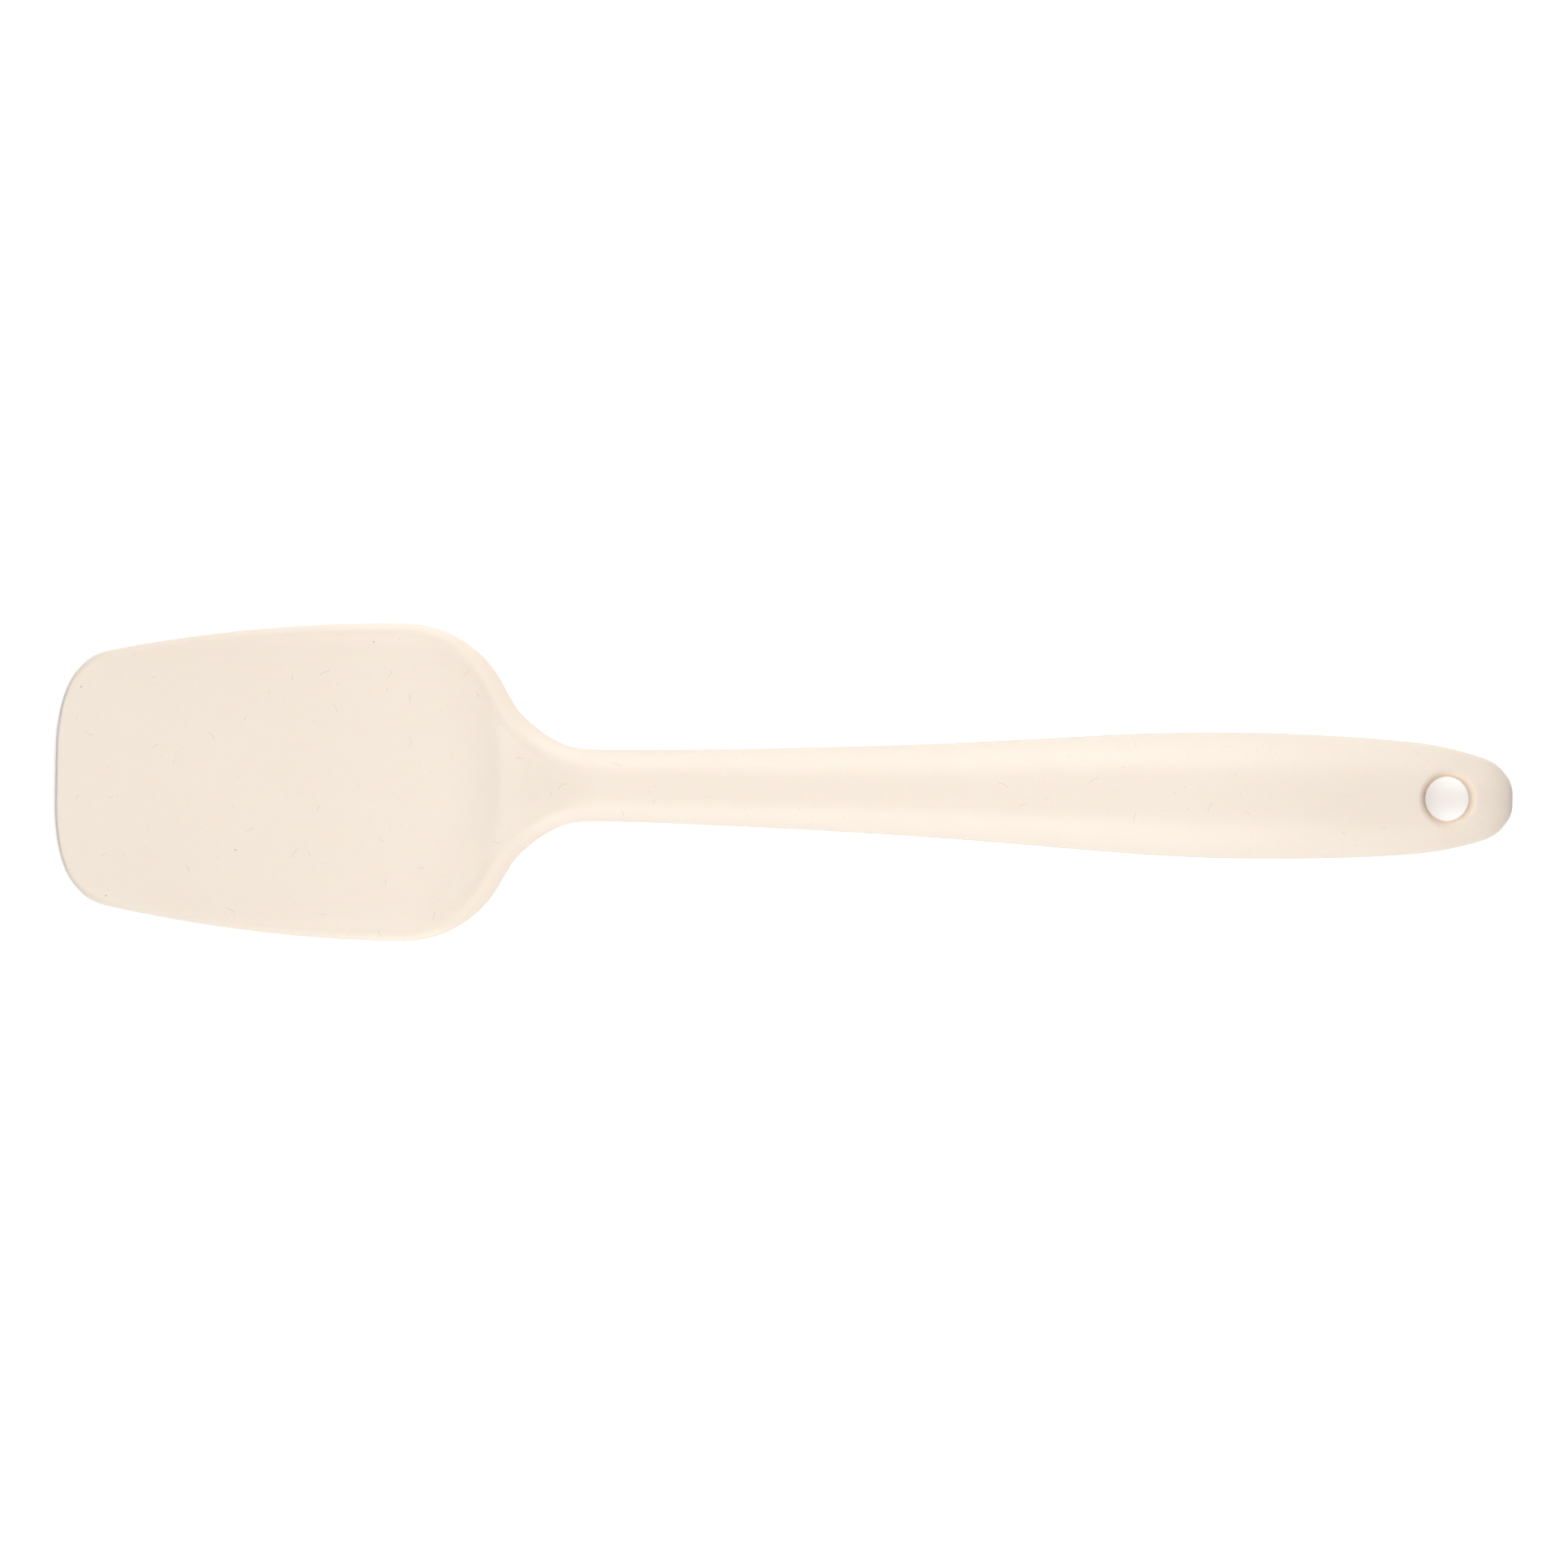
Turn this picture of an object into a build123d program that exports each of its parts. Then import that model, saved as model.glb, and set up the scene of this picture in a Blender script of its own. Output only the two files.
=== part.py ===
from build123d import *
import os
from math import atan2, cos, degrees, sin, sqrt

os.makedirs("parts", exist_ok=True)

# Overall sizes in millimetres, with places along the spatula measured from the blade's tip
length = 275.0
blade_width = 59.9
widest_from_tip = 65.9
neck_start = 101.0
neck_width = 13.6
grip_width = 23.8
grip_from_end = 52.0

# Outline of the blade: a slightly bowed tip, two corners, arched flanks and round shoulders
tip_flat_width = 12.0
tip_edge_width = 25.2
tip_bow = 0.7
tip_width = 48.2
corner_length = 9.9
corner_shares = ((0.19, 0.39), (0.566, 0.826))
shoulder_radius = 20.8
shoulder_turn = 62.0
hollow_shares = ((0.2, 0.447), (0.57, 0.847))

# Outline of the handle, as shares of each run's length and of its half width or its change
swell_shares = ((0.32, 0.167), (0.65, 0.57))
end_shares = ((0.53, 0.924), (0.79, 0.777), (0.871, 0.681), (0.931, 0.58), (0.975, 0.39))
end_flat_width = 2.6
sections_per_run = (12, 8, 10, 8, 12, 18)

# Heights above the table, with the scoop facing up
tip_lift = 1.0
tip_thickness = 1.8
edge_thickness = 1.8
floor_height = 4.2
scoop_depth = 2.2
wall_rise = 1.5
root_rise = 2.1
neck_lift = 1.2
grip_thickness = 12.8
end_lift = 3.2
end_fall = 3.5

# Where the heights change: shares of the run from tip to widest place, and from there to the neck
back_flat_shares = (0.607, 0.941)
scoop_wall_shares = (0.174, 0.517)
web_shares = (0.23, 1.057)
neck_flat_length = 11.0
end_slope_run = 60.0

# Rounding: the edge of the blade is inset a little, and the handle's sides are a dome
blade_inset_share = 0.05
handle_inset_share = 0.33
handle_crest_share = 0.74
side_share = 0.55
tip_round_length = 1.1
end_round_length = 9.0
closing_share = 0.25

# Hanging hole through the handle's end
hole_diameter = 8.4
hole_from_end = 12.4
hole_rim_radius = 1.6

# Stiffening core sealed inside the silicone
bond_gap = 0.1
core_start = 38.0
core_front_length = 8.0
paddle_width = 22.0
paddle_thickness = 1.2
paddle_height_share = 0.56
core_neck_width = 8.0
core_neck_thickness = 3.6
core_grip_width = 16.0
core_grip_thickness = 6.4
core_end_thickness = 2.8
hole_lining = 1.4
eyelet_wall = 1.6
core_sections = 24

# Openings in the core that the silicone flows through and grips, as shares of the run from
# the core's front to the neck for the holes, and from the neck to the hanging hole for the slots
key_hole_diameter = 4.0
key_hole_offset = 5.5
key_hole_shares = (0.19, 0.38, 0.57)
key_slot_length = 14.0
key_slot_width = 5.0
key_slot_shares = (0.5, 0.65, 0.8)

# Worked out from the sizes above
grip_from_tip = length - grip_from_end
hole_from_tip = length - hole_from_end
hole_radius = hole_diameter / 2
eyelet_bore_radius = hole_radius + hole_lining
eyelet_radius = eyelet_bore_radius + eyelet_wall
handle_run = grip_from_tip - neck_start
root_run = neck_start - widest_from_tip
back_flat_start, back_flat_end = [widest_from_tip * share for share in back_flat_shares]
scoop_wall_start, scoop_wall_end = [widest_from_tip + root_run * share for share in scoop_wall_shares]
web_start, web_end = [widest_from_tip + root_run * share for share in web_shares]
neck_end = neck_start + neck_flat_length
flank_run = widest_from_tip - corner_length
flank_turn = 2 * atan2((blade_width - tip_width) / 2, flank_run)
core_end = hole_from_tip + eyelet_radius
core_step = (core_end - core_start + 4 * bond_gap) / (core_sections - 1)
core_places = [core_start - 2 * bond_gap + core_step * number for number in range(core_sections)]


def place(station):
    """The frame's X of a place measured from the tip."""
    return station - length / 2


def ramp(station, start, stop):
    """0 before the start, 1 after the stop and a smooth rise between them."""
    share = min(max((station - start) / (stop - start), 0), 1)
    return share * share * (3 - 2 * share)


def blend(low, high, share):
    """The size at a share of the way from low to high."""
    return low + (high - low) * share


def closing(depth, round_length):
    """How thick the piece still is, as a share, at a depth inside one of its round ends."""
    short = 1 - min(max(depth / round_length, 0), 1)
    return sqrt(1 - (1 - closing_share**2) * short * short)


def back_height(station):
    """The underside along the middle: it touches the table under the blade and the grip."""
    tip = tip_lift * (1 - ramp(station, 0, back_flat_start))
    neck = neck_lift * ramp(station, back_flat_end, web_end)
    neck -= neck_lift * ramp(station, neck_end, grip_from_tip)
    end = end_lift * ramp(station, grip_from_tip, grip_from_tip + end_slope_run)
    return tip + neck + end


def face_height(station):
    """The face along the middle: the scoop's floor, its rear wall, the root, neck and grip."""
    tip_face = tip_lift + tip_thickness
    height = blend(tip_face, floor_height, ramp(station, corner_length, scoop_wall_end))
    up_the_wall = (station - scoop_wall_start) / (scoop_wall_end - scoop_wall_start)
    height += wall_rise * min(max(up_the_wall, 0), 1) ** 2
    height += root_rise * ramp(station, scoop_wall_end, web_end)
    grip_rise = grip_thickness - floor_height - wall_rise - root_rise
    height += grip_rise * ramp(station, scoop_wall_end, grip_from_tip)
    return height - end_fall * ramp(station, grip_from_tip, grip_from_tip + end_slope_run)


def edge_height(station):
    """The outline's own height: the middle of the blade's rim, then the handle's mid plane."""
    tip_edge = tip_lift + tip_thickness / 2
    scoop_edge = floor_height + scoop_depth - edge_thickness / 2
    rim = blend(tip_edge, scoop_edge, ramp(station, 0, widest_from_tip))
    middle = (face_height(station) + back_height(station)) / 2
    return blend(rim, middle, ramp(station, web_start, web_end))


def core_middle(station):
    """The core lies a little above the middle of the curved blade, and in mid handle."""
    share = blend(paddle_height_share, 1 / 2, ramp(station, web_start, web_end))
    return blend(back_height(station), face_height(station), share)


def core_half(station):
    """Half the core's thickness: thin in the blade, thickest in the grip, thin at its eyelet."""
    half = blend(paddle_thickness, core_neck_thickness, ramp(station, web_start, neck_start)) / 2
    half += (core_grip_thickness - core_neck_thickness) / 2 * ramp(station, neck_start, grip_from_tip)
    drop = (core_grip_thickness - core_end_thickness) / 2
    return half - drop * ramp(station, grip_from_tip, hole_from_tip)


def section_sizes(station, half_width):
    """One cross section: its outline's height, its crests' place and the heights from there."""
    web = ramp(station, web_start, web_end)
    inset = half_width * blend(blade_inset_share, handle_inset_share, web)
    edge = edge_height(station)
    round_off = closing(station, tip_round_length) * closing(length - station, end_round_length)
    above = (face_height(station) - edge) * round_off
    below = (edge - back_height(station)) * round_off
    rim = edge_thickness / 2 * round_off
    upper = blend(rim, above * handle_crest_share, web)
    lower = blend(rim, below * handle_crest_share, web)
    return edge, half_width - inset, above, below, upper, lower


# Half of the outline from above, drawn along X from the tip to the handle's end
with BuildLine() as outline:
    tip_corner = Spline(
        (0, tip_flat_width / 2),
        (tip_bow, tip_edge_width / 2),
        *[
            (corner_length * along, blend(tip_edge_width, tip_width, share) / 2)
            for along, share in corner_shares
        ],
        (corner_length, tip_width / 2),
        tangents=[(0, 1), (cos(flank_turn), sin(flank_turn))],
    )
    flank = JernArc(tip_corner @ 1, tip_corner % 1, flank_run / sin(flank_turn), -degrees(flank_turn))
    shoulder = JernArc(flank @ 1, flank % 1, shoulder_radius, -shoulder_turn)
    hollow = Spline(
        shoulder @ 1,
        *[
            (
                blend((shoulder @ 1).X, neck_start, along),
                blend((shoulder @ 1).Y, neck_width / 2, share),
            )
            for along, share in hollow_shares
        ],
        (neck_start, neck_width / 2),
        tangents=[shoulder % 1, (1, 0)],
    )
    swell = Spline(
        (neck_start, neck_width / 2),
        *[
            (neck_start + handle_run * along, blend(neck_width, grip_width, share) / 2)
            for along, share in swell_shares
        ],
        (grip_from_tip, grip_width / 2),
        tangents=[(1, 0), (1, 0)],
    )
    rounded_end = Spline(
        (grip_from_tip, grip_width / 2),
        *[
            (grip_from_tip + grip_from_end * along, grip_width / 2 * share)
            for along, share in end_shares
        ],
        (length, end_flat_width / 2),
        tangents=[(1, 0), (0, -1)],
    )

# Cross sections stand along the outline, closest together where it turns fastest
stations = [(0, tip_flat_width / 2)]
for run, count in zip((tip_corner, flank, shoulder, hollow, swell, rounded_end), sections_per_run):
    for step in range(count):
        point = run @ ((step + 1) / count)
        stations.append((point.X, point.Y))


def core_form(grow):
    """The core from above, cut to its thickness from the side, grown all round by a gap."""
    with BuildPart() as form:
        with BuildSketch():
            with BuildLine():
                front = Spline(
                    (place(core_start) - grow, 0),
                    (place(core_start + core_front_length), paddle_width / 2 + grow),
                    tangents=[(0, 1), (1, 0)],
                )
                paddle_side = Line(front @ 1, (place(widest_from_tip), paddle_width / 2 + grow))
                root = Spline(
                    paddle_side @ 1,
                    (place(neck_start), core_neck_width / 2 + grow),
                    tangents=[(1, 0), (1, 0)],
                )
                grip = Spline(
                    root @ 1,
                    (place(grip_from_tip), core_grip_width / 2 + grow),
                    tangents=[(1, 0), (1, 0)],
                )
                eyelet_side = Spline(
                    grip @ 1,
                    (place(hole_from_tip), eyelet_radius + grow),
                    tangents=[(1, 0), (1, 0)],
                )
                JernArc(eyelet_side @ 1, (1, 0), eyelet_radius + grow, -90)
                mirror(about=Plane.XZ)
            make_face()
            with Locations((place(hole_from_tip), 0)):
                Circle(eyelet_bore_radius - grow, mode=Mode.SUBTRACT)
            for share in key_hole_shares:
                along = place(blend(core_start, neck_start, share))
                with Locations((along, key_hole_offset), (along, -key_hole_offset)):
                    Circle(key_hole_diameter / 2 - grow, mode=Mode.SUBTRACT)
            for share in key_slot_shares:
                with Locations((place(blend(neck_start, hole_from_tip, share)), 0)):
                    SlotOverall(
                        key_slot_length - 2 * grow, key_slot_width - 2 * grow, mode=Mode.SUBTRACT
                    )
        extrude(amount=grip_thickness)
        with BuildSketch(Plane.XZ):
            with BuildLine():
                top = Spline(*[(place(s), core_middle(s) + core_half(s) + grow) for s in core_places])
                bottom = Spline(*[(place(s), core_middle(s) - core_half(s) - grow) for s in core_places])
                Line(top @ 0, bottom @ 0)
                Line(top @ 1, bottom @ 1)
            make_face()
        extrude(amount=blade_width / 2, both=True, mode=Mode.INTERSECT)
    return form.part


# The core is one stiff moulding that fills its pocket in the silicone
with BuildPart() as stiffening_core:
    add(core_form(0))


def cross_section(station, half_width):
    """One closed section of the silicone: two shallow arches joined by rounded sides."""
    edge, crest, above, below, upper, lower = section_sizes(station, half_width)
    curves = []
    for side, height, middle in ((1, upper, above), (-1, -lower, -below)):
        knee = height - 2 * (middle - height) / crest * (half_width - crest)
        rounding = (
            (half_width, edge),
            (half_width, edge + knee * side_share),
            (blend(crest, half_width, side_share), edge + blend(height, knee, side_share)),
            (crest, edge + height),
        )
        curves.append(Bezier(*[(side * across, up) for across, up in rounding]))
        curves.append(
            Bezier(
                (side * crest, edge + height),
                (0, edge + 2 * middle - height),
                (-side * crest, edge + height),
            )
        )
        curves.append(Bezier(*[(-side * across, up) for across, up in reversed(rounding)]))
    return Plane.YZ.offset(place(station)) * Face(Wire(curves))


sections = [cross_section(station, half_width) for station, half_width in stations]

# The silicone's outside passes through all the cross sections
with BuildPart() as silicone_skin:
    loft(sections, ruled=True, clean=False)

    # The hanging hole, with a flared rim on both faces
    rim_top = face_height(hole_from_tip)
    rim_bottom = back_height(hole_from_tip)
    with Locations((place(hole_from_tip), 0)):
        Cylinder(hole_radius, 2 * grip_thickness, mode=Mode.SUBTRACT)
    with BuildSketch(Plane.XZ.shift_origin((place(hole_from_tip), 0))):
        for rim, outward in ((rim_top, 1), (rim_bottom, -1)):
            land = rim - outward * hole_rim_radius
            with BuildLine():
                wall = Line((0, land), (hole_radius, land))
                flare = RadiusArc(
                    wall @ 1, (hole_radius + hole_rim_radius, rim), outward * hole_rim_radius
                )
                Polyline(
                    flare @ 1,
                    (hole_radius + hole_rim_radius, rim + outward * hole_rim_radius),
                    (0, rim + outward * hole_rim_radius),
                    wall @ 0,
                )
            make_face()
    revolve(axis=Axis((place(hole_from_tip), 0, 0), (0, 0, 1)), mode=Mode.SUBTRACT)

    # The pocket that the core fills, with a thin gap for the bond
    add(core_form(bond_gap), mode=Mode.SUBTRACT)

for name, piece in (("silicone_skin", silicone_skin), ("stiffening_core", stiffening_core)):
    piece.part.label = name
    export_step(piece.part, f"parts/{name}.step")
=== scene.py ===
import math

import bpy
import numpy as np
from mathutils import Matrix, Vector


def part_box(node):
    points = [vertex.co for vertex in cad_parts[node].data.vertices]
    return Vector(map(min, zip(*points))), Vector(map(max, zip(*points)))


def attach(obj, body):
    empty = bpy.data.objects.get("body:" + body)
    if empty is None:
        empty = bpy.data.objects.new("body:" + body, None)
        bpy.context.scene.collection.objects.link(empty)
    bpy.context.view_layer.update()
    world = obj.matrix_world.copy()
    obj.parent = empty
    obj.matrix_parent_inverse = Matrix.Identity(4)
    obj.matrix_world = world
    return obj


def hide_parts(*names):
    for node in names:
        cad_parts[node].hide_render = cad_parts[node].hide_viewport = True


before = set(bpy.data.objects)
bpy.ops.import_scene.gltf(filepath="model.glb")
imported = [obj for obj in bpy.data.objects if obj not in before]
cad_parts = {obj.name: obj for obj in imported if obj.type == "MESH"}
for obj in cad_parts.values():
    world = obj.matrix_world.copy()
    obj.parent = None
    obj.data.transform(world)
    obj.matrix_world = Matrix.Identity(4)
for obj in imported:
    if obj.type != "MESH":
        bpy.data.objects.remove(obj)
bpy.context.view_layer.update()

bpy.ops.object.select_all(action="DESELECT")

# The silicone skin is the whole visible spatula: one seamless moulding in cream platinum silicone,
# cast round the stiff core in a two-part mould. Its outline follows the sections of the frame's
# own skin. The scoop, its rear wall, the domed handle and the rolled rims are pressed in here.
lowest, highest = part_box("silicone_skin")
tip_x = lowest[0]
length = highest[0] - lowest[0]
width_trim = 0.00001

# Where each stretch begins and ends along the spatula, from the blade's tip
floor_start = 0.0099
back_flat_start = 0.0400
back_flat_end = 0.0620
widest_from_tip = 0.0659
wall_start = 0.0720
web_start = 0.0740
wall_end = 0.08405
web_end = 0.1030
neck_end = 0.112
grip_from_end = 0.052
grip_from_tip = length - grip_from_end
end_slope_run = 0.060
end_slope_end = grip_from_tip + end_slope_run

# How high each stretch's face, back and rim stand over the table
tip_lift = 0.0010
tip_edge = 0.0019
tip_face = 0.0028
floor_height = 0.0042
rim_edge = 0.0055
rim_half = 0.0009
root_rise = 0.0021
grip_face = highest[2]
end_fall = 0.0035
neck_lift = 0.0012
end_lift = 0.0032

# The scoop's rear wall, which bows towards the neck in the middle
wall_rise = 0.0015
wall_power = 3
wall_softness = 0.06
wall_bow_depth = 0.00255
wall_bow_reach = 0.0175
wall_bow = wall_bow_depth / wall_bow_reach**2

# The rolled rims, the bead inside the scoop's rim and the hanging hole
tip_roll = 0.0006
blade_roll = 0.0015
handle_roll_share = 0.88
handle_crest_share = 0.93
end_roll = 0.0095
end_roll_reach = 0.0180
end_roll_full = 0.0050
end_roll_start = length - end_roll_reach
end_roll_stop = length - end_roll_full
bead_start = 0.0028
bead_side_depth = 0.0010
bead_shoulder_depth = 0.0024
bead_slope = 0.16
hole_from_end = 0.0124
hole_x = highest[0] - hole_from_end
hole_radius = 0.0042
hole_roll = 0.0016


def ramp(along, start, stop):
    """0 before the start, 1 after the stop and a smooth rise between them."""
    share = np.clip((along - start) / (stop - start), 0, 1)
    return share * share * (3 - 2 * share)


def blend(low, high, share):
    """The size at a share of the way from low to high."""
    return low + (high - low) * share


def back_height(along):
    """The underside along the middle, which touches the table under the blade and the grip."""
    lift = tip_lift * (1 - ramp(along, 0, back_flat_start))
    lift += neck_lift * (ramp(along, back_flat_end, web_end) - ramp(along, neck_end, grip_from_tip))
    return lift + end_lift * ramp(along, grip_from_tip, end_slope_end)


def face_height(along, off_axis):
    """The face: the scoop's floor and its bowed rear wall, then the root, the neck and the grip."""
    height = blend(tip_face, floor_height, ramp(along, floor_start, wall_end))
    bowed = along + wall_bow * off_axis**2
    up_the_wall = np.maximum((bowed - wall_start) / (wall_end - wall_start), 0)
    over = up_the_wall - 1
    up_the_wall = (up_the_wall + 1 - np.sqrt(over * over + wall_softness**2)) / 2
    height += wall_rise * np.maximum(up_the_wall, 0) ** wall_power
    height += root_rise * ramp(along, wall_end, web_end)
    grip_rise = grip_face - floor_height - wall_rise - root_rise
    height += grip_rise * ramp(along, wall_end, grip_from_tip)
    return height - end_fall * ramp(along, grip_from_tip, end_slope_end)


def edge_height(along):
    """The outline's own height: the middle of the blade's rim, then the handle's mid plane."""
    rim = blend(tip_edge, rim_edge, ramp(along, 0, widest_from_tip))
    middle = (face_height(along, 0 * along) + back_height(along)) / 2
    return blend(rim, middle, ramp(along, web_start, web_end))


# Each cross section of the frame's skin is a ring of many corners, the outermost on the outline.
# Places are turned into angles, round which both blunt ends of the outline run smoothly.
fewest_corners = 100
place_digits = 6
section_corners = {}
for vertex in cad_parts["silicone_skin"].data.vertices:
    section_corners.setdefault(round(vertex.co.x, place_digits), []).append(vertex.co.y)
sections = sorted(
    (place - tip_x, max(across))
    for place, across in section_corners.items()
    if len(across) > fewest_corners
)
section_places = np.array([place for place, half in sections])
section_halves = np.array([half for place, half in sections])
section_angles = np.arccos(np.clip(1 - 2 * section_places / length, -1, 1))
section_slopes = np.gradient(section_halves, section_angles)


def half_width(along):
    """The outline's half width, by cubics from section to section, just inside the frame's box."""
    angle = np.arccos(np.clip(1 - 2 * along / length, -1, 1))
    after = np.clip(np.searchsorted(section_angles, angle), 1, len(section_angles) - 1)
    before = after - 1
    step = section_angles[after] - section_angles[before]
    share = (angle - section_angles[before]) / step
    rise = share * share * (3 - 2 * share)
    half = blend(section_halves[before], section_halves[after], rise)
    half += section_slopes[before] * step * share * (1 - share) ** 2
    half -= section_slopes[after] * step * share * share * (1 - share)
    return np.minimum(half, highest[1] - width_trim)


def eased(share):
    """0 at a share of 0 and 1 at a share of 1, in steps that start small."""
    return 1 - math.cos(math.pi / 2 * share)


# A flat sheet, with rows close together at both ends, up the scoop's wall and round the hole.
# Each run of rows has its start, its end and its count, and eased rows close both ends.
tip_rows_end = 0.0011
end_rows_run = 0.0012
end_rows_start = length - end_rows_run
end_rows = 4
patch_start = 0.2566
patch_end = 0.2686
row_runs = (
    (tip_rows_end, 0.0100, 8),
    (0.0100, 0.0640, 12),
    (0.0640, 0.0800, 8),
    (0.0800, 0.0880, 8),
    (0.0880, 0.1060, 8),
    (0.1060, 0.2440, 14),
    (0.2440, patch_start, 4),
    (patch_start, patch_end, 10),
    (patch_end, end_rows_start, 4),
)
rows = [tip_rows_end * eased(step / end_rows) for step in range(end_rows)]
for start, stop, count in row_runs:
    rows += [start + (stop - start) * step / count for step in range(count)]
last_run = length - end_rows_start
rows += [length - last_run * eased(1 - step / end_rows) for step in range(end_rows + 1)]
rows = np.array(rows)

rim_columns = 4
inner_columns = 5
handle_side_share = 0.42
halves = half_width(rows)
slopes = np.gradient(halves, rows)
web = ramp(rows, web_start, web_end)
rolls = blend(blade_roll * np.sqrt(1 + slopes**2), handle_side_share * halves, web)
rolls = np.minimum(rolls, halves / 2)
half_columns = [halves - rolls * eased(column / rim_columns) for column in range(rim_columns)]
half_columns += [(halves - rolls) * (1 - column / inner_columns) for column in range(inner_columns)]
columns = half_columns + [0 * halves] + [-half for half in reversed(half_columns)]

bpy.ops.mesh.primitive_grid_add(
    x_subdivisions=len(columns) - 1, y_subdivisions=len(rows) - 1, size=1, location=(0, 0, 0)
)
skin = bpy.context.active_object
skin.name = "silicone_body"

for number, vertex in enumerate(skin.data.vertices):
    row, column = divmod(number, len(columns))
    vertex.co = (tip_x + rows[row], columns[column][row], 0)

# The hole: a patch's edge is drawn out to a circle, the patch comes out, and rings step inwards
patch_radius = 0.0063
edge_slack = 1.01
roll_steps = 4
patch_rows = [
    number
    for number, place in enumerate(rows)
    if patch_start <= round(place, place_digits) <= patch_end
]
first_column = rim_columns
last_column = len(columns) - 1 - rim_columns
for number, vertex in enumerate(skin.data.vertices):
    row, column = divmod(number, len(columns))
    if row in patch_rows and first_column <= column <= last_column:
        if row in (patch_rows[0], patch_rows[-1]) or column in (first_column, last_column):
            away = math.hypot(vertex.co.x - hole_x, vertex.co.y)
            vertex.co.x = hole_x + (vertex.co.x - hole_x) * patch_radius / away
            vertex.co.y *= patch_radius / away


def select_in(piece, kind, wanted):
    """Leaves the piece in edit mode with only the wanted vertices or faces selected."""
    bpy.ops.object.mode_set(mode="EDIT")
    bpy.ops.mesh.select_mode(type=kind)
    bpy.ops.mesh.select_all(action="DESELECT")
    bpy.ops.object.mode_set(mode="OBJECT")
    members = piece.data.vertices if kind == "VERT" else piece.data.polygons
    for member in members:
        member.select = wanted(member)
    bpy.ops.object.mode_set(mode="EDIT")


def in_patch(face):
    """Whether a face of the flat sheet belongs to the patch that the hole takes out."""
    row, column = divmod(face.index, len(columns) - 1)
    return patch_rows[0] <= row < patch_rows[-1] and first_column <= column < last_column


def at_patch_edge(vertex):
    """Whether a corner lies on the circle that the patch's edge was drawn out to."""
    return math.hypot(vertex.co.x - hole_x, vertex.co.y) < patch_radius * edge_slack


select_in(skin, "FACE", in_patch)
bpy.ops.mesh.delete(type="FACE")
select_in(skin, "VERT", at_patch_edge)
bpy.ops.mesh.select_mode(type="EDGE")
ring_radii = [(patch_radius + hole_radius + hole_roll) / 2]
for step in range(roll_steps + 1):
    ring_radii.append(hole_radius + hole_roll * (1 - math.sin(math.pi / 2 * step / roll_steps)))
ring = patch_radius
for next_ring in ring_radii:
    bpy.ops.mesh.extrude_edges_move()
    bpy.ops.transform.resize(value=(next_ring / ring,) * 2 + (1,), center_override=(hole_x, 0, 0))
    ring = next_ring
bpy.ops.object.mode_set(mode="OBJECT")

modifier = skin.modifiers.new("smooth sheet", "SUBSURF")
modifier.levels = 2
modifier.render_levels = 2
bpy.ops.object.modifier_apply(modifier=modifier.name)

# The sheet's open border is the outline, and every place's distance from it sets the rolled rim
mesh = skin.data
sheet_count = len(mesh.vertices)
flat = np.empty(sheet_count * 3)
mesh.vertices.foreach_get("co", flat)
flat = flat.reshape(-1, 3)
uses = {}
for face in mesh.polygons:
    for key in face.edge_keys:
        uses[key] = uses.get(key, 0) + 1
from_hole = np.hypot(flat[:, 0] - hole_x, flat[:, 1])
border = [key for key, count in uses.items() if count == 1 and from_hole[key[0]] > patch_radius]
start_points = flat[[key[0] for key in border], :2]
runs = flat[[key[1] for key in border], :2] - start_points
run_squares = (runs**2).sum(1)
depth = np.full(sheet_count, length)
for start, run, square in zip(start_points, runs, run_squares):
    share = np.clip(((flat[:, :2] - start) @ run) / square, 0, 1)
    depth = np.minimum(depth, np.hypot(*(flat[:, :2] - start - share[:, None] * run).T))

along = flat[:, 0] - tip_x
off_axis = flat[:, 1]
half = half_width(along)
web = ramp(along, web_start, web_end)
roll = blend(tip_roll, blade_roll, ramp(along, 0, floor_start))
roll = blend(roll, handle_roll_share * half, web)
roll = blend(roll, end_roll, ramp(along, end_roll_start, end_roll_stop))
rolled = np.sqrt(1 - (1 - np.minimum(depth / roll, 1)) ** 2)
crown = 1 - (off_axis / half).clip(-1, 1) ** 2
edge = edge_height(along)
to_hole = np.clip(hole_radius + hole_roll - from_hole, 0, hole_roll)
hole_drop = hole_roll - np.sqrt(hole_roll**2 - to_hole**2)

# A low bead follows the scoop's rim, narrow along the sides and wider round the shoulders
bead_depth = blend(bead_side_depth, bead_shoulder_depth, ramp(along, floor_start, wall_end))
from_bead = np.clip((depth - bead_depth) / bead_depth, -1, 1)
bead = bead_slope * bead_depth * (1 + np.cos(math.pi * from_bead)) / 2
bead *= ramp(along, bead_start, floor_start) * (1 - ramp(along, wall_end, web_end))


def pressed(middle, plain_middle):
    """How far a face stands from the outline's height: rim, crown or scoop, and the hole's roll."""
    rim = blend(rim_half, plain_middle * handle_crest_share, web)
    return rolled * (rim + (middle - rim) * crown) - hole_drop


face_rise = face_height(along, off_axis) - edge
plain_rise = face_height(along, 0 * along) - edge
back_fall = edge - back_height(along)
face_side = edge + pressed(face_rise, plain_rise)
face_side += bead
back_side = edge - pressed(back_fall, back_fall)

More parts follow.
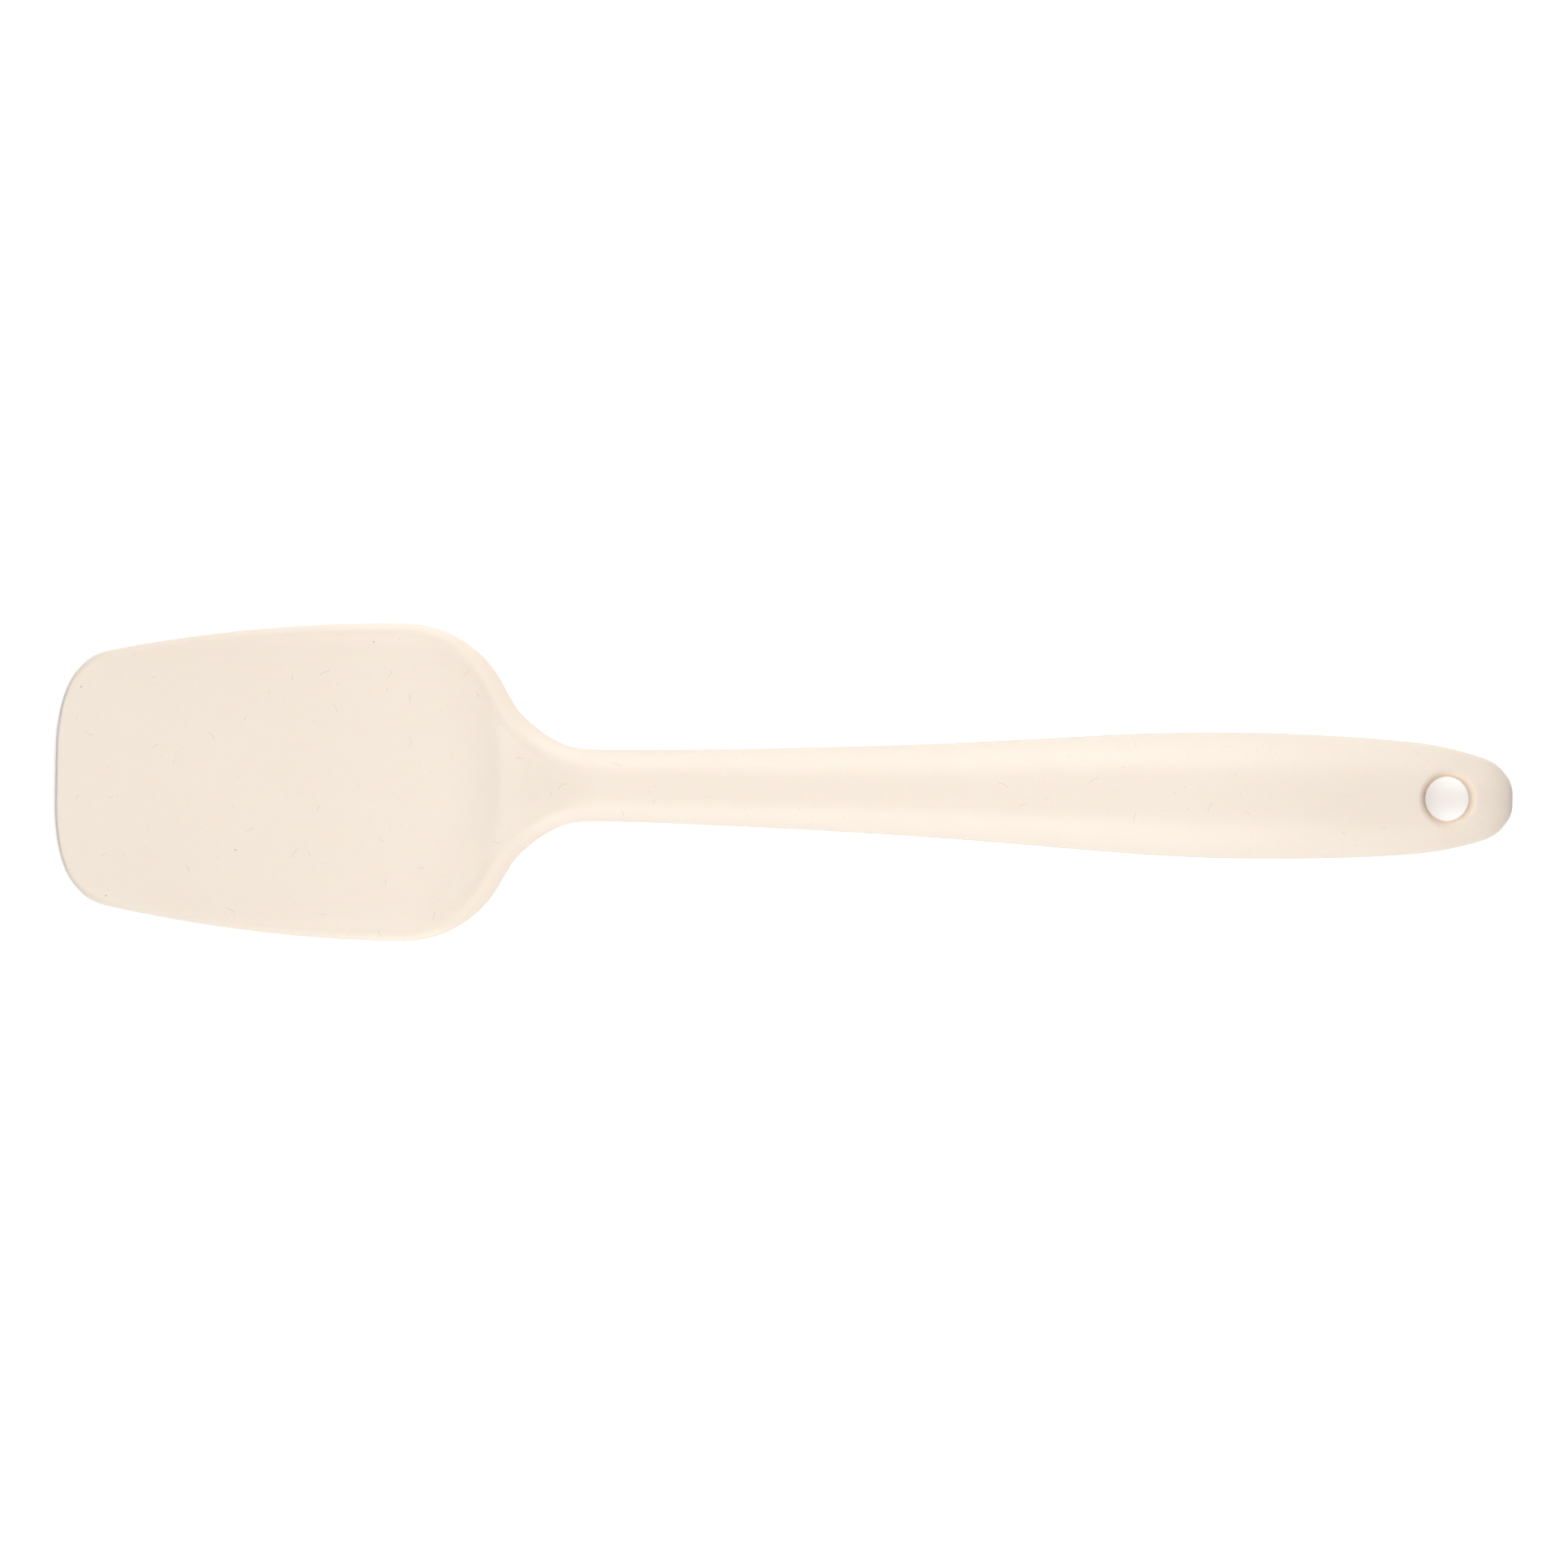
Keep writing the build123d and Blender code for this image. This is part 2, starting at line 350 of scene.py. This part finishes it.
# A second sheet is the underside. The two are welded along the outline and bridged at the hole.
weld_distance = 0.000002
bore_cuts = 3
bpy.ops.object.mode_set(mode="EDIT")
bpy.ops.mesh.select_mode(type="FACE")
bpy.ops.mesh.select_all(action="SELECT")
bpy.ops.mesh.duplicate()
bpy.ops.mesh.flip_normals()
bpy.ops.object.mode_set(mode="OBJECT")
face_places = np.column_stack((flat[:, :2], face_side))
back_places = np.column_stack((flat[:, :2], back_side))
mesh.vertices.foreach_set("co", np.vstack((face_places, back_places)).ravel())
mesh.update()
bpy.ops.object.mode_set(mode="EDIT")
bpy.ops.mesh.select_all(action="SELECT")
bpy.ops.mesh.remove_doubles(threshold=weld_distance)
bpy.ops.mesh.select_all(action="DESELECT")
bpy.ops.mesh.select_mode(type="EDGE")
bpy.ops.mesh.select_non_manifold()
bpy.ops.mesh.bridge_edge_loops(number_cuts=bore_cuts, interpolation="LINEAR")
bpy.ops.mesh.select_all(action="SELECT")
bpy.ops.mesh.normals_make_consistent(inside=False)
bpy.ops.object.mode_set(mode="OBJECT")
bpy.ops.object.shade_smooth()

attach(skin, "root")
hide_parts("silicone_skin")

# Silicone: satin cream, faintly cloudy, with the lint and dust that silicone always picks up
silicone = bpy.data.materials.new("cream_silicone")
silicone.use_nodes = True
nodes, links = silicone.node_tree.nodes, silicone.node_tree.links
shader = nodes["Principled BSDF"]
shader.inputs["IOR"].default_value = 1.43
shader.inputs["Subsurface Weight"].default_value = 0.2
shader.inputs["Subsurface Radius"].default_value = (1.0, 0.6, 0.4)
shader.inputs["Subsurface Scale"].default_value = 0.002
shader.inputs["Sheen Weight"].default_value = 0.25
shader.inputs["Sheen Roughness"].default_value = 0.5
places = nodes.new("ShaderNodeTexCoord").outputs["Object"]


def calculate(operation, first, second=0.0):
    """A maths node on sockets or plain numbers."""
    node = nodes.new("ShaderNodeMath")
    node.operation = operation
    for socket, value in zip(node.inputs, (first, second)):
        if isinstance(value, (int, float)):
            socket.default_value = value
        else:
            links.new(value, socket)
    return node.outputs[0]


def distance(one_way, other_way):
    """How far a place is from a middle, from its two offsets seen from above."""
    squares = calculate("ADD", calculate("POWER", one_way, 2), calculate("POWER", other_way, 2))
    return calculate("SQRT", squares)


def noise(scale, detail):
    """Cloudy noise over the object's own coordinates, in features per metre."""
    node = nodes.new("ShaderNodeTexNoise")
    node.inputs["Scale"].default_value = scale
    node.inputs["Detail"].default_value = detail
    links.new(places, node.inputs["Vector"])
    return node.outputs["Fac"]


def between(value, low, high, out_low, out_high):
    """A smooth step of the value from low to high, rescaled."""
    node = nodes.new("ShaderNodeMapRange")
    node.interpolation_type = "SMOOTHSTEP"
    links.new(value, node.inputs["Value"])
    node.inputs["From Min"].default_value = low
    node.inputs["From Max"].default_value = high
    node.inputs["To Min"].default_value = out_low
    node.inputs["To Max"].default_value = out_high
    return node.outputs["Result"]


def tint(share, under, over):
    """One colour over another by a share."""
    node = nodes.new("ShaderNodeMix")
    node.data_type = "RGBA"
    links.new(share, node.inputs["Factor"])
    for socket, value in ((node.inputs["A"], under), (node.inputs["B"], over)):
        if isinstance(value, tuple):
            socket.default_value = value
        else:
            links.new(value, socket)
    return node.outputs["Result"]


def roughened(scale, detail, smoothest, roughest):
    """Roughness that drifts between two values over the surface."""
    low, high = 0.3, 0.7
    drift = between(noise(scale, detail), low, high, smoothest, roughest)
    links.new(drift, shader.inputs["Roughness"])


def textured(height, strength):
    """A bump from a height that varies by a tenth of a millimetre."""
    bump_height = 0.0001
    texture = nodes.new("ShaderNodeBump")
    texture.inputs["Strength"].default_value = strength
    texture.inputs["Distance"].default_value = bump_height
    links.new(height, texture.inputs["Height"])
    links.new(texture.outputs["Normal"], shader.inputs["Normal"])


def split(vector):
    """A vector's three numbers."""
    node = nodes.new("ShaderNodeSeparateXYZ")
    links.new(vector, node.inputs[0])
    return node.outputs


def scattered(cells_per_metre):
    """Cells over the face: each place's offset from its cell's point, and the cell's three numbers."""
    cells = nodes.new("ShaderNodeTexVoronoi")
    cells.voronoi_dimensions = "2D"
    cells.inputs["Scale"].default_value = cells_per_metre
    links.new(places, cells.inputs["Vector"])
    offset = nodes.new("ShaderNodeVectorMath")
    offset.operation = "SUBTRACT"
    links.new(places, offset.inputs[0])
    links.new(cells.outputs["Position"], offset.inputs[1])
    numbers = nodes.new("ShaderNodeSeparateColor")
    links.new(cells.outputs["Color"], numbers.inputs[0])
    return offset.outputs["Vector"], numbers.outputs


def dots(cells_per_metre, radius, chosen_share):
    """Small round dots with soft edges, one in each chosen share of the cells."""
    core_share, edge_share = 0.6, 1.3
    offset, numbers = scattered(cells_per_metre)
    side = split(offset)
    away = distance(side[0], side[1])
    dot = between(away, radius * core_share, radius * edge_share, 1.0, 0.0)
    return calculate("MULTIPLY", dot, calculate("LESS_THAN", numbers[2], chosen_share))


# Lint: a thin curved line in some cells, turned at random, up to 2.2 mm long and in loose crowds
lint_cells_per_metre = 110
lint_bend_most = 900
lint_reach_least = 0.0002
lint_reach_spread = 0.0009
lint_core = 0.00004
lint_edge = 0.00011
lint_strength = 0.75
lint_colour = (0.720, 0.640, 0.570, 1)
crowds_per_metre = 28
crowd_low, crowd_high = 0.38, 0.62
crowd_least, crowd_most = 0.25, 0.95
number_shuffle = 7
lint_offset, lint_numbers = scattered(lint_cells_per_metre)
turned = nodes.new("ShaderNodeVectorRotate")
turned.rotation_type = "Z_AXIS"
links.new(lint_offset, turned.inputs["Vector"])
links.new(calculate("MULTIPLY", lint_numbers[0], math.tau), turned.inputs["Angle"])
lint = split(turned.outputs[0])
lint_bend = calculate("MULTIPLY", calculate("SUBTRACT", lint_numbers[1], 0.5), lint_bend_most)
lint_curve = calculate("MULTIPLY", calculate("POWER", lint[0], 2), lint_bend)
lint_off = calculate("ABSOLUTE", calculate("ADD", lint[1], lint_curve))
lint_share = calculate("FRACT", calculate("MULTIPLY", lint_numbers[0], number_shuffle))
lint_reach = calculate("ADD", calculate("MULTIPLY", lint_share, lint_reach_spread), lint_reach_least)
lint_line = between(lint_off, lint_core, lint_edge, 1.0, 0.0)
within_reach = calculate("LESS_THAN", calculate("ABSOLUTE", lint[0]), lint_reach)
lint_line = calculate("MULTIPLY", lint_line, within_reach)
crowds = noise(crowds_per_metre, 1)
lint_crowd = between(crowds, crowd_low, crowd_high, crowd_least, crowd_most)
lint_line = calculate("MULTIPLY", lint_line, calculate("LESS_THAN", lint_numbers[2], lint_crowd))

# Lint, pale dust and a few brown specks lie where the silicone faces up or down, not on its sides
dust_cells_per_metre = 190
dust_radius = 0.00011
dust_share = 0.35
dust_strength = 0.6
dust_colour = (0.640, 0.560, 0.480, 1)
speck_cells_per_metre = 26
speck_radius = 0.00016
speck_share = 0.50
speck_strength = 0.75
speck_colour = (0.420, 0.300, 0.200, 1)
steep_facing, flat_facing = 0.6, 0.85
facing = calculate("ABSOLUTE", split(nodes.new("ShaderNodeNewGeometry").outputs["Normal"])[2])
lying = between(facing, steep_facing, flat_facing, 0.0, 1.0)


def lain_on(under, mark, strength, colour):
    """A colour with marks of another colour lying on it."""
    return tint(calculate("MULTIPLY", calculate("MULTIPLY", mark, lying), strength), under, colour)


clouds_per_metre = 45
cream_dark = (0.880, 0.781, 0.673, 1)
cream_light = (0.896, 0.801, 0.699, 1)
grains_per_metre = 1400
grain_strength = 0.10
grain_colour = (0.800, 0.690, 0.575, 1)
clouds = tint(noise(clouds_per_metre, 3), cream_dark, cream_light)
grainy = calculate("MULTIPLY", noise(grains_per_metre, 2), grain_strength)
grained = tint(grainy, clouds, grain_colour)
linty = lain_on(grained, lint_line, lint_strength, lint_colour)
dust = dots(dust_cells_per_metre, dust_radius, dust_share)
dusty = lain_on(linty, dust, dust_strength, dust_colour)
specks = dots(speck_cells_per_metre, speck_radius, speck_share)
specked = lain_on(dusty, specks, speck_strength, speck_colour)

# Painted shade darkens every steep side, along the outline where the mould's parting line runs and at
# the handle's end, but not in the hole. The hole's bore has a warm painted shade.
side_shade_core, side_shade_edge = 0.03, 0.28
side_shade_strength = 0.55
side_shade_colour = (0.500, 0.455, 0.415, 1)
bore_shade_strength = 0.55
bore_shade_colour = (0.800, 0.580, 0.400, 1)
place = split(places)
to_axis = distance(calculate("SUBTRACT", place[0], hole_x), place[1])
off_bore = between(to_axis, hole_radius + hole_roll, patch_radius, 0.0, 1.0)
# Painted shade: the steeper a side faces, the darker its colour
side_shade = between(facing, side_shade_core, side_shade_edge, side_shade_strength, 0.0)
side_shaded = tint(calculate("MULTIPLY", side_shade, off_bore), specked, side_shade_colour)
# Painted shade: the hole's bore and its roll get a warmer, darker colour
bore_shade = between(to_axis, hole_radius, hole_radius + hole_roll, bore_shade_strength, 0.0)
bore_shaded = tint(bore_shade, side_shaded, bore_shade_colour)
links.new(bore_shaded, shader.inputs["Base Color"])
roughened(scale=220, detail=4, smoothest=0.40, roughest=0.47)
textured(noise(scale=2600, detail=3), strength=0.12)
skin.data.materials.append(silicone)

# The stiffening core is sealed inside: one stiff moulding in natural glass-filled nylon, with the
# openings that the silicone flowed through when it was cast round it. The frame's own node stays.
# Its flow marks are drawn out along the spatula, and short pale fibres show in its surface.
flow_stretch = (0.15, 1.0, 1.0)
flow_marks_per_metre = 260
nylon_dark = (0.700, 0.690, 0.640, 1)
nylon_light = (0.790, 0.785, 0.750, 1)
fibres_per_metre = 3200
fibre_low, fibre_high = 0.58, 0.70
fibre_strength = 0.35
fibre_colour = (0.900, 0.900, 0.880, 1)
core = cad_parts["stiffening_core"]
nylon = bpy.data.materials.new("natural_nylon")
nylon.use_nodes = True
nodes, links = nylon.node_tree.nodes, nylon.node_tree.links
shader = nodes["Principled BSDF"]
shader.inputs["IOR"].default_value = 1.53
flow = nodes.new("ShaderNodeMapping")
flow.inputs["Scale"].default_value = flow_stretch
links.new(nodes.new("ShaderNodeTexCoord").outputs["Object"], flow.inputs["Vector"])
places = flow.outputs["Vector"]
flow_marks = tint(noise(flow_marks_per_metre, 4), nylon_dark, nylon_light)
fibres = between(noise(fibres_per_metre, 2), fibre_low, fibre_high, 0.0, fibre_strength)
links.new(tint(fibres, flow_marks, fibre_colour), shader.inputs["Base Color"])
roughened(scale=700, detail=3, smoothest=0.42, roughest=0.60)
textured(noise(fibres_per_metre, 2), strength=0.2)
for slot in core.material_slots:
    slot.material = nylon

# The floor is plain white paper, which keeps the spatula's shadow. It glows where the camera or a
# reflection sees it, so that it reads as white without throwing more light on the spatula.
floor_side = 8
floor_glow = 0.45
paper_colour = (0.8, 0.8, 0.8, 1)
bpy.ops.object.select_all(action="DESELECT")
bpy.ops.mesh.primitive_plane_add(size=floor_side, location=(0, 0, 0))
floor = bpy.context.active_object
floor.name = "floor"
paper = bpy.data.materials.new("white_paper")
paper.use_nodes = True
nodes, links = paper.node_tree.nodes, paper.node_tree.links
shader = nodes["Principled BSDF"]
shader.inputs["Base Color"].default_value = paper_colour
shader.inputs["Roughness"].default_value = 0.9
shader.inputs["Specular IOR Level"].default_value = 0


def seen_rays():
    """1 on rays from the camera, from a gloss or through glass, and 0 on the rest."""
    rays = nodes.new("ShaderNodeLightPath").outputs
    seen = calculate("MAXIMUM", rays["Is Camera Ray"], rays["Is Glossy Ray"])
    return calculate("MAXIMUM", seen, rays["Is Transmission Ray"])


glow = nodes.new("ShaderNodeEmission")
links.new(calculate("MULTIPLY", seen_rays(), floor_glow), glow.inputs["Strength"])
both_shaders = nodes.new("ShaderNodeAddShader")
links.new(shader.outputs[0], both_shaders.inputs[0])
links.new(glow.outputs[0], both_shaders.inputs[1])
links.new(both_shaders.outputs[0], nodes["Material Output"].inputs["Surface"])
floor.data.materials.append(paper)

# The studio's light comes from a low strip and a tilted soft panel on each side of the table, and
# one soft panel overhead. The dome round them is seen as white, and gives next to no light.
dome_light = 0.05
dome_seen = 1.0
world = bpy.data.worlds.new("studio")
bpy.context.scene.world = world
world.use_nodes = True
nodes, links = world.node_tree.nodes, world.node_tree.links
sky = nodes["Background"]
sky.inputs["Color"].default_value = (1, 1, 1, 1)
dome = nodes.new("ShaderNodeMapRange")
dome.inputs["To Min"].default_value = dome_light
dome.inputs["To Max"].default_value = dome_seen
links.new(seen_rays(), dome.inputs["Value"])
links.new(dome.outputs[0], sky.inputs["Strength"])

# Each lamp's name, distance from the spatula's axis, height, tilt in degrees, size along the
# spatula, size the other way and watts
lamps = (
    ("low_far", 0.60, 0.09, 82, 0.36, 0.18, 0.90),
    ("low_near", -0.60, 0.09, 82, 0.36, 0.18, 0.86),
    ("tent_far", 0.55, 0.50, 45, 0.36, 0.45, 3.37),
    ("tent_near", -0.55, 0.50, 45, 0.36, 0.45, 3.30),
    ("overhead", 0.00, 1.20, 0, 0.40, 0.60, 2.26),
)
for name, lamp_off_axis, lamp_height, tilt, wide, tall, power in lamps:
    lamp = bpy.data.lights.new(name, "AREA")
    lamp.shape = "RECTANGLE"
    lamp.size = wide
    lamp.size_y = tall
    lamp.energy = power
    holder = bpy.data.objects.new(name, lamp)
    bpy.context.scene.collection.objects.link(holder)
    holder.location = (0, lamp_off_axis, lamp_height)
    holder.rotation_euler = (math.copysign(math.radians(tilt), -lamp_off_axis), 0, 0)
    holder.visible_camera = False

# The camera looks straight down through a long lens, rolled a little as in the photograph. The
# spatula's middle lies at object_centre there, in pixels, each of which is photo_scale metres.
photo_side = 1932
photo_scale = 0.0001531
object_centre = (965.3, 971.4)
camera_height = 2.6
aim_height = 0.005
far_limit = 20
sensor_width = 36
roll_angle = math.radians(0.90)
lens_data = bpy.data.cameras.new("camera")
lens_data.sensor_width = sensor_width
lens_data.lens = sensor_width * (camera_height - aim_height) / (photo_side * photo_scale)
lens_data.clip_end = far_limit
camera = bpy.data.objects.new("camera", lens_data)
bpy.context.scene.collection.objects.link(camera)
bpy.context.scene.camera = camera
across = (photo_side / 2 - object_centre[0]) * photo_scale
up = (object_centre[1] - photo_side / 2) * photo_scale
camera.location = (
    across * math.cos(roll_angle) - up * math.sin(roll_angle),
    across * math.sin(roll_angle) + up * math.cos(roll_angle),
    camera_height,
)
camera.rotation_euler = (0, 0, roll_angle)

bpy.context.scene.view_settings.view_transform = "Standard"
